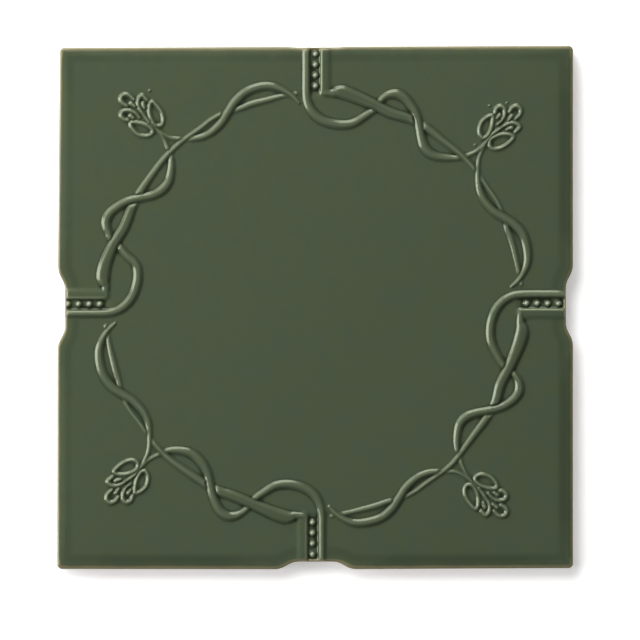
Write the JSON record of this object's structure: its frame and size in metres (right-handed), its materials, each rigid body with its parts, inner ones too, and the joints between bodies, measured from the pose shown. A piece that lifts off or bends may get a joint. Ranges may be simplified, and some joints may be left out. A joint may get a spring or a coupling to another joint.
{
  "type": "wall tile",
  "caption": "Green-glazed square clay wall tile with a relief-moulded wreath of entwined stems, corner flower heads, beaded straps and shallow notches in the middle of its edges",
  "frame": {"origin": "middle of the overall box on the back face, which lies on the floor", "axes": "+Z out of the glazed front, +Y to the upper edge of the pictured tile, +X to its right"},
  "size_m": [0.1502, 0.1525, 0.009],
  "materials": {
    "green_glaze": "olive green gloss glaze on a moulded clay body, pale where it runs thin over raised lines, bare clay back"
  },
  "bodies": {
    "root": {"tile": "green_glaze"}
  },
  "joints": []
}
